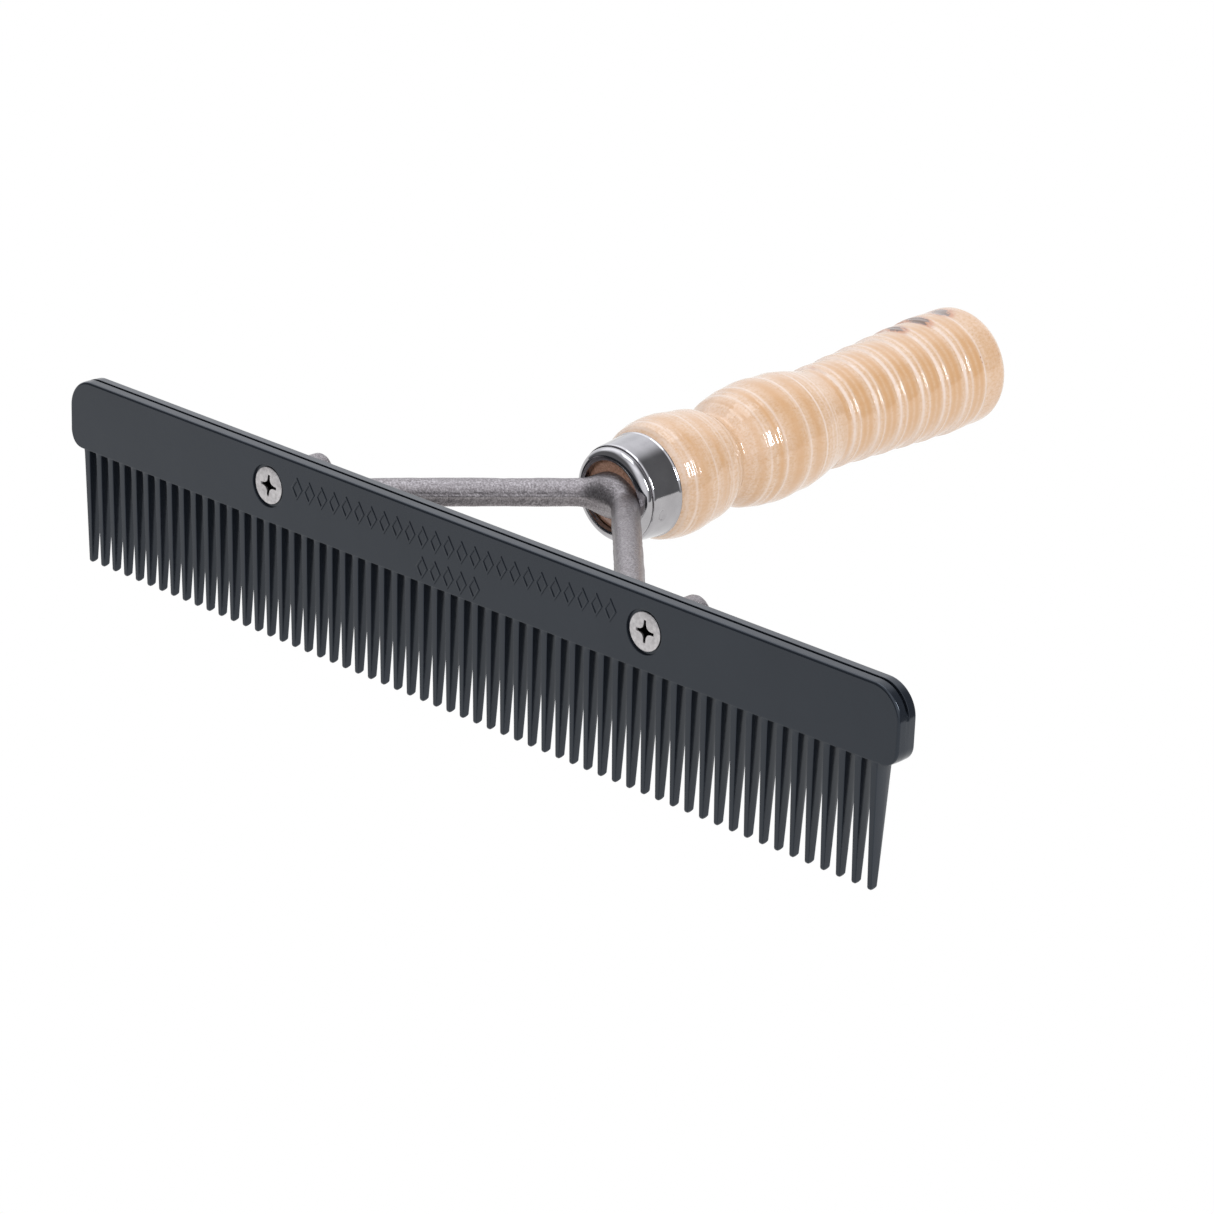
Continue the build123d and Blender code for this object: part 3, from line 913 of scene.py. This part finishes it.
def arm_route_distance(x, y):
    """Distance in plan from the right arm's centreline: out at 45 degrees, then level."""
    run = ARM_APEX - ARM_END_DISTANCE
    cut = ARM_BEND_RADIUS * tan(pi / 8)
    bend_start = (run - cut * sqrt(0.5), ARM_END_DISTANCE + cut * sqrt(0.5))
    bend_end = (run + cut, ARM_END_DISTANCE)
    centre = (bend_end[0], ARM_END_DISTANCE + ARM_BEND_RADIUS)
    straight = segment_distance(x, y, (0, ARM_APEX), bend_start)
    level = segment_distance(x, y, bend_end, (SCREW_REACH, ARM_END_DISTANCE))
    angle = np.degrees(np.arctan2(y - centre[1], x - centre[0]))
    in_bend = (angle > -135) & (angle < -90)
    bend = np.abs(np.hypot(x - centre[0], y - centre[1]) - ARM_BEND_RADIUS)
    return np.minimum(np.minimum(straight, level), np.where(in_bend, bend, 1e3))


def arm_field(x, y, z):
    """An arm with a half-round top, drafted sides, a flat underside and a parting ridge."""
    side = arm_route_distance(x, y)
    top = np.hypot(side, z) - ARM_RADIUS
    drafted = ARM_RADIUS + np.minimum(z, 0) * tan(radians(ARM_SIDE_DRAFT))
    under = rounded_edge(side - drafted + ARM_EDGE, -z - ARM_SIDE + ARM_EDGE, ARM_EDGE)
    body = np.where(z > 0, top, under)
    ridge = np.hypot(side - ARM_RADIUS, z) - PARTING_RIDGE
    return blend_union(body, ridge, RIDGE_FILLET)


def hub_field(x, y, z):
    """The domed hub and the neck that runs back into the handle."""
    ahead = np.minimum(y - HUB_DISTANCE, 0)
    dome = np.sqrt(x * x + ahead * ahead + z * z) - HUB_RADIUS
    return np.maximum(dome, y - NECK_END)


def in_comb(axis, y, z):
    """The comb's Y (axis 1) or Z (axis 2) of points of the shank frame."""
    row = SHANK_IN_COMB[axis]
    return row[1] * y + row[2] * z + row[3] / MM


def boss_fields(x, y, z):
    """The right boss, the screw hole through it, and what lies ahead of the comb's back."""
    depth = in_comb(1, y, z)
    out = np.hypot(x - SCREW_REACH, in_comb(2, y, z) - SCREW_HEIGHT)
    comb_back = SPINE_HIGH[1]
    half = (BOSS_END - comb_back) / 2
    middle = (BOSS_END + comb_back) / 2
    ends = np.abs(depth - middle) - half + BOSS_EDGE
    boss = rounded_edge(out - BOSS_RADIUS + BOSS_EDGE, ends, BOSS_EDGE)
    near_comb = np.abs(depth - comb_back - BOSS_SQUARE_HALF) - BOSS_SQUARE_HALF
    boss = np.minimum(boss, np.maximum(out - BOSS_RADIUS, near_comb))
    return boss, out - SCREW_RADIUS - BOSS_HOLE_CLEARANCE, comb_back - depth


def fork_field(x, y, z):
    """Distance from the whole casting; the two sides mirror each other."""
    right = arm_field(x, y, z)
    left = arm_field(-x, y, z)
    arms = blend_union(right, left, ARM_FILLET)
    casting = blend_union(arms, hub_field(x, y, z), HUB_FILLET)
    boss, hole, front = boss_fields(np.abs(x), y, z)
    casting = blend_union(casting, boss, BOSS_FILLET)
    return np.maximum(np.maximum(casting, -hole), front)


def crossings(distance, axis):
    """Grid edges along an axis that cross zero: the cells round each and its place."""
    near = np.delete(distance, -1, axis)
    far = np.delete(distance, 0, axis)
    crossing = (near < 0) != (far < 0)
    near, far = near[crossing], far[crossing]
    edge = np.argwhere(crossing)
    place = edge.astype(float)
    place[:, axis] += near / (near - far)
    ring = []
    for du, dv in ((0, 0), (-1, 0), (-1, -1), (0, -1)):
        cell = edge.copy()
        cell[:, (axis + 1) % 3] += du
        cell[:, (axis + 2) % 3] += dv
        ring.append(np.ravel_multi_index(cell.T, np.array(distance.shape) - 1))
    ring = np.stack(ring, 1)
    return np.where((near < 0)[:, None], ring, ring[:, ::-1]), place


def surface_net(distance, low, step):
    """The zero surface of a grid of distances, as points and quads."""
    rings, places = zip(*[crossings(distance, axis) for axis in range(3)])
    index = np.unique(np.concatenate(rings).ravel(), return_inverse=True)[1]
    owners = np.repeat(np.concatenate(places), 4, axis=0)
    counts = np.bincount(index)
    points = np.stack([np.bincount(index, owners[:, a]) / counts for a in range(3)], 1)
    return points * step + low, index.reshape(-1, 4)


def settle(points, field, rounds=3, nudge=0.02, least_slope=0.2):
    """Moves points onto the zero surface of a field."""
    for _ in range(rounds):
        value = field(*points.T)
        slope = []
        for shift in np.eye(3) * nudge:
            slope.append((field(*(points + shift).T) - field(*(points - shift).T)) / (2 * nudge))
        slope = np.stack(slope, 1)
        size = np.maximum((slope**2).sum(1), least_slope)
        move = -(value / size)[:, None] * slope
        points = points + np.clip(move, -FORK_STEP / 2, FORK_STEP / 2)
    return points


def roughened(points, normals, *waves):
    """Moves points along their normals by (size, height) waves of smooth noise."""
    moved = []
    for point, normal in zip(points, normals):
        push = sum(noise.noise(Vector(point) / size) * height for size, height in waves)
        moved.append(point + normal * push)
    return np.array(moved)


def fork():
    box_low, box_high = local_box("fork", SHANK)
    box_high[1] = NECK_END
    low = box_low - GRID_MARGIN * FORK_STEP
    count = np.ceil((box_high - box_low) / FORK_STEP).astype(int) + 2 * GRID_MARGIN
    axes = [low[a] + FORK_STEP * np.arange(count[a]) for a in range(3)]
    grid = np.meshgrid(*axes, indexing="ij")
    points, quads = surface_net(fork_field(*grid), low, FORK_STEP)
    points = settle(points, fork_field)
    piece = new_piece("forked_shank", points, quads, SHANK)
    normals = np.array([v.normal for v in piece.data.vertices])
    cast = roughened(points, normals, *CAST_WAVES)
    piece.data.vertices.foreach_set("co", (cast * MM).ravel())
    piece.data.update()
    piece.data.shade_smooth()
    return piece


# ---- ferrule ----
def ferrule_radius(distance):
    """Outside radius of the slightly tapered cup."""
    return FERRULE_HIGH[0] - FERRULE_TAPER * (FERRULE_HIGH[1] - distance)


def ferrule_profile():
    """The closed section: rear bead, outside, crease, rolled lip, mouth and inside wall."""
    back = FERRULE_HIGH[1]
    bead = ferrule_radius(back) + REAR_BEAD
    shoulder = LIP_FRONT + LIP_RADIUS
    crease = shoulder + CREASE_BEHIND_LIP
    lip_centre = (shoulder, ferrule_radius(shoulder) - LIP_DROP - LIP_RADIUS)
    bore = ferrule_radius(shoulder) - FERRULE_WALL
    profile = [(back, ferrule_radius(back) - FERRULE_WALL)]
    profile += arc((back - REAR_EDGE, bead - REAR_EDGE), REAR_EDGE, 0, 90, 4)
    profile += [(back - 0.4, bead - REAR_BEAD * 0.2), (back - 0.55, ferrule_radius(back - 0.55))]
    outside = np.arange(back - 0.75, crease + 0.4, -FERRULE_STEP)
    profile += [(d, ferrule_radius(d)) for d in outside]
    profile += [
        (crease + 0.3, ferrule_radius(crease) - 0.02),
        (crease + 0.12, ferrule_radius(crease) - 0.1),
        (crease, ferrule_radius(crease) - LIP_DROP - CREASE),
    ]
    profile += arc(lip_centre, LIP_RADIUS, 84, 200, 16)
    lip_end = profile[-1][0]
    profile += [(lip_end + behind, MOUTH_RADIUS + wider) for behind, wider in MOUTH_STATIONS]
    profile += [(shoulder + 0.2, bore - 0.5), (shoulder + 1.0, bore)]
    return profile


def stake_sink(along, around):
    """How deep the punched mark is at a place near it; its rim is raised."""
    share = hypot(along / STAKE_SHORT, around / STAKE_LONG)
    rim, place, width = STAKE_RIM
    return STAKE_DEPTH * (1 - smoothstep(STAKE_FLOOR, 1.0, share)) - rim * bump_at(share, place, width)


def ferrule():
    piece = turned("rolled_ferrule", ferrule_profile(), SHANK, FERRULE_SEGMENTS, closed=True)
    angle = radians(STAKE_ANGLE)
    for v in piece.data.vertices:
        x, y, z = v.co / MM
        out = hypot(x, z)
        if out < ferrule_radius(y) - FERRULE_WALL / 2:
            continue
        turn = (atan2(z, x) - angle + pi) % (2 * pi) - pi
        sunk = stake_sink(y - STAKE_DISTANCE, turn * out)
        v.co.x *= 1 - sunk / out
        v.co.z *= 1 - sunk / out
    smooth(piece, 50)
    return piece


# ---- handle ----
def through(stations, step):
    """A smooth line through (distance, radius) stations, as cubic pieces."""
    at = np.array([d for d, _ in stations])
    radius = np.array([r for _, r in stations])
    slope = np.gradient(radius, at)
    line = []
    for i in range(len(at) - 1):
        width = at[i + 1] - at[i]
        pieces = max(1, round(width / step))
        for t in np.arange(pieces) / pieces:
            a = (1 + 2 * t) * (1 - t) ** 2 * radius[i]
            b = t * t * (3 - 2 * t) * radius[i + 1]
            c = t * (1 - t) ** 2 * slope[i] * width
            d = -t * t * (1 - t) * slope[i + 1] * width
            line.append((at[i] + t * width, a + b + c + d))
    return line


def ring_line(index):
    """One finger ring: a step up to a crest, a fine second ridge and a crowned flat."""
    start, end = RING_STARTS[index], RING_STARTS[index + 1]
    radius = RING_FIRST_RADIUS + index * RING_GROWTH
    before = radius - RING_GROWTH if index else BEADS[-1][1]
    depth, width = RING_DIP
    line = []
    for d in np.arange(start, end - RING_END_GAP, RING_STEP):
        rise = float(smoothstep(*RING_RISE, d - start))
        ridges = RING_RIDGE[2] * bump_at(d - start, *RING_RIDGE[:2])
        ridges -= RING_GROOVE[2] * bump_at(d - start, *RING_GROOVE[:2])
        share = (d - start - RING_CROWN_START) / (end - start - RING_CROWN_START)
        crown = RING_CROWN * sin(pi * min(max(share, 0), 1))
        dip = depth * (bump_at(d, start, width) + bump_at(d, end, width))
        line.append((d, before + (radius - before) * rise + ridges + crown - dip))
    return line


def butt_line():
    """From the last ring over the rounded end to the flat of the butt."""
    round_start = BUTT_DISTANCE - BUTT_ROUND_DEPTH
    line = [(RING_STARTS[-1] + behind, radius) for behind, radius in BUTT_STATIONS]
    line.append((round_start, BUTT_RADIUS))
    for a in np.radians(np.linspace(BUTT_ROUND_START, 90, BUTT_ROUND_POINTS)):
        reach = BUTT_FLAT_RADIUS + (BUTT_RADIUS - BUTT_FLAT_RADIUS) * cos(a)
        line.append((round_start + BUTT_ROUND_DEPTH * sin(a), reach))
    return line + [(BUTT_DISTANCE + BUTT_FLAT_RISE, radius) for radius in BUTT_FLAT_RADII]


def bead_line():
    """The beads, with the fine ridges of the turning tool on them."""
    trough, behind = TOOL_TROUGH
    line = []
    for distance, radius in through(BEADS, BEAD_STEP):
        for place, height in TOOL_RIDGES:
            after = place + behind * TOOL_RIDGE_WIDTH
            radius += height * bump_at(distance, place, TOOL_RIDGE_WIDTH)
            radius -= trough * height * bump_at(distance, after, TOOL_RIDGE_WIDTH)
        line.append((distance, radius))
    return line


def handle_profile():
    """The stub in the ferrule's mouth, the beads, the finger rings and the butt."""
    profile = [(HANDLE_FACE + behind, radius) for behind, radius in STUB_FACE]
    profile.append((STUB_START, STUB_RADIUS))
    profile += [(BEADS[0][0] + behind, STUB_RADIUS + wider) for behind, wider in STUB_SHOULDER]
    profile += bead_line()
    for i in range(len(RING_STARTS) - 1):
        profile += ring_line(i)
    return profile + butt_line()


def vein_strength(distance, angle):
    """How dark the heartwood is at a distance and an angle in degrees."""
    strength = 0.0
    for centre, middle, length, height in VEIN_PATCHES:
        lean = (angle - middle) * VEIN_LEAN
        reach = hypot((distance - centre - lean) / length, (angle - middle) / height)
        strength = max(strength, 1 - float(smoothstep(*VEIN_FADE, reach)))
    start, end, fade, middle, height, share = VEIN_BAND
    inside = smoothstep(start, start + fade, distance) * (1 - smoothstep(end - fade, end, distance))
    band = share * float(inside) * bump_at(angle, middle, height)
    centre, length, middle, height, share = RED_LINE
    red_line = share * bump_at(distance, centre, length) * bump_at(angle, middle, height)
    return min(max(strength, band, red_line), 1.0)


def strongest(distance, zones, ring_zones):
    """The strongest of the zones at a distance; ring_zones repeat on each finger ring."""
    for start in RING_STARTS[:-1]:
        zones = zones + [(start + middle, *rest) for middle, *rest in ring_zones]
    return max(strength * bump_at(distance, middle, half) for middle, half, strength in zones)


def paint(piece, name, values):
    """Stores a strength for each point of a piece."""
    layer = piece.data.attributes.new(name, "FLOAT", "POINT")
    layer.data.foreach_set("value", np.array(values, np.float32))


def handle():
    profile = handle_profile()
    piece = turned("turned_handle", profile, SHANK, HANDLE_SEGMENTS)
    # The tan zones are the wood's own colour; the pale lines are painted reflection.
    layers = {"tan_zone": (TAN_ZONES, RING_TAN_ZONES), "painted_reflection_line": (PAINTED_REFLECTION_LINES, RING_PAINTED_REFLECTION_LINES)}
    for name, zones in layers.items():
        strengths = [strongest(distance, *zones) for distance, _ in profile]
        paint(piece, name, np.repeat(strengths, HANDLE_SEGMENTS))
    dark = []
    for x, y, z in [v.co / MM for v in piece.data.vertices]:
        clear = y <= CLEAR_WOOD_END
        dark.append(0.0 if clear else vein_strength(y, degrees(atan2(z, x))))
    paint(piece, "vein", dark)
    smooth(piece, 40, weighted=False)
    return piece


# ---- stage, lights and camera ----
def compass(azimuth, elevation):
    """The direction towards an azimuth, counted from -Y towards +X, and an elevation."""
    a, e = radians(azimuth), radians(elevation)
    return Vector((sin(a) * cos(e), -cos(a) * cos(e), sin(e)))


def add_camera():
    """The camera stands to the right of the comb's front, a little above it."""
    back = compass(CAMERA_AZIMUTH, CAMERA_ELEVATION)
    right = Vector((0, 0, 1)).cross(back).normalized()
    up = back.cross(right)
    turn = Matrix((right, up, back)).transposed().to_4x4()
    turn = turn @ Matrix.Rotation(radians(CAMERA_ROLL), 4, "Z")
    place = Matrix.Translation((Vector(CAMERA_AIM) + back * CAMERA_DISTANCE) * MM) @ turn
    data = bpy.data.cameras.new("camera")
    data.lens = CAMERA_LENS
    data.clip_start = 0.01
    data.clip_end = 100
    camera = bpy.data.objects.new("camera", data)
    bpy.context.scene.collection.objects.link(camera)
    camera.matrix_world = COMB @ place
    bpy.context.scene.camera = camera


def add_floor():
    """A glowing light table that ends near the comb."""
    corners = [(x, y, 0) for x, y in FLOOR_CORNERS]
    floor = new_piece("floor", np.array(corners) / MM, [range(len(corners))], Matrix.Identity(4))
    floor.data.materials.append(white_floor())


def add_panel(name, azimuth, elevation, distance, wide, high, radiance):
    """A rectangular soft light that faces the comb."""
    data = bpy.data.lights.new(name, "AREA")
    data.shape = "RECTANGLE"
    data.size = wide
    data.size_y = high
    data.energy = radiance * pi * wide * high
    data.color = PANEL_COLOUR
    light = bpy.data.objects.new(name, data)
    bpy.context.scene.collection.objects.link(light)
    towards = compass(azimuth, elevation)
    light.location = towards * distance
    light.rotation_euler = towards.to_track_quat("Z", "Y").to_euler()
    light.visible_camera = False


def soft_lobe(tree, direction, towards, inner, outer, radiance):
    """Light from the sky that fades from inner to outer degrees away from a direction."""
    apart = node(tree, "VectorMath", {0: direction, 1: towards}, operation="DOT_PRODUCT")
    fade = {
        "Value": apart.outputs["Value"],
        "From Min": cos(radians(outer)),
        "From Max": cos(radians(inner)),
        "To Max": radiance,
    }
    return node(tree, "MapRange", fade, interpolation_type="SMOOTHSTEP").outputs[0]


def add_sky():
    """A dim room with soft bright lobes; plain white where the camera sees it."""
    world = bpy.data.worlds.new("studio")
    bpy.context.scene.world = world
    tree = emptied(world)
    direction = node(tree, "TexCoord").outputs["Generated"]
    total = SKY_DIM
    for azimuth, elevation, inner, outer, radiance in SKY_LOBES:
        lobe = soft_lobe(tree, direction, compass(azimuth, elevation), inner, outer, radiance)
        total = math_node(tree, "ADD", lobe, total)
    seen = node(tree, "LightPath").outputs["Is Camera Ray"]
    strength = node(tree, "Mix", {0: seen, 2: total, 3: 1.0}).outputs[0]
    colour = mix(tree, seen, SKY_COLOUR, (1.0, 1.0, 1.0))
    glow = node(tree, "Background", {"Color": colour, "Strength": strength})
    node(tree, "OutputWorld", {"Surface": glow.outputs[0]})


# ---- assembly ----
def finish_piece(piece, material, cad_node):
    piece.data.materials.clear()
    piece.data.materials.append(material)
    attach(piece, "root")
    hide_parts(cad_node)


def main():
    plastic = moulded_plastic()
    add_camera()
    add_floor()
    for panel in PANELS:
        add_panel(*panel)
    add_sky()
    finish_piece(comb_blade(), plastic, "comb_spine")
    finish_piece(comb_teeth(), plastic, "comb_teeth")
    finish_piece(comb_screws(), screw_steel(), "comb_screws")
    finish_piece(fork(), cast_steel(), "fork")
    finish_piece(ferrule(), ferrule_plate(), "ferrule")
    finish_piece(handle(), lacquered_wood(), "handle")
    bpy.context.scene.view_settings.view_transform = "Standard"


main()
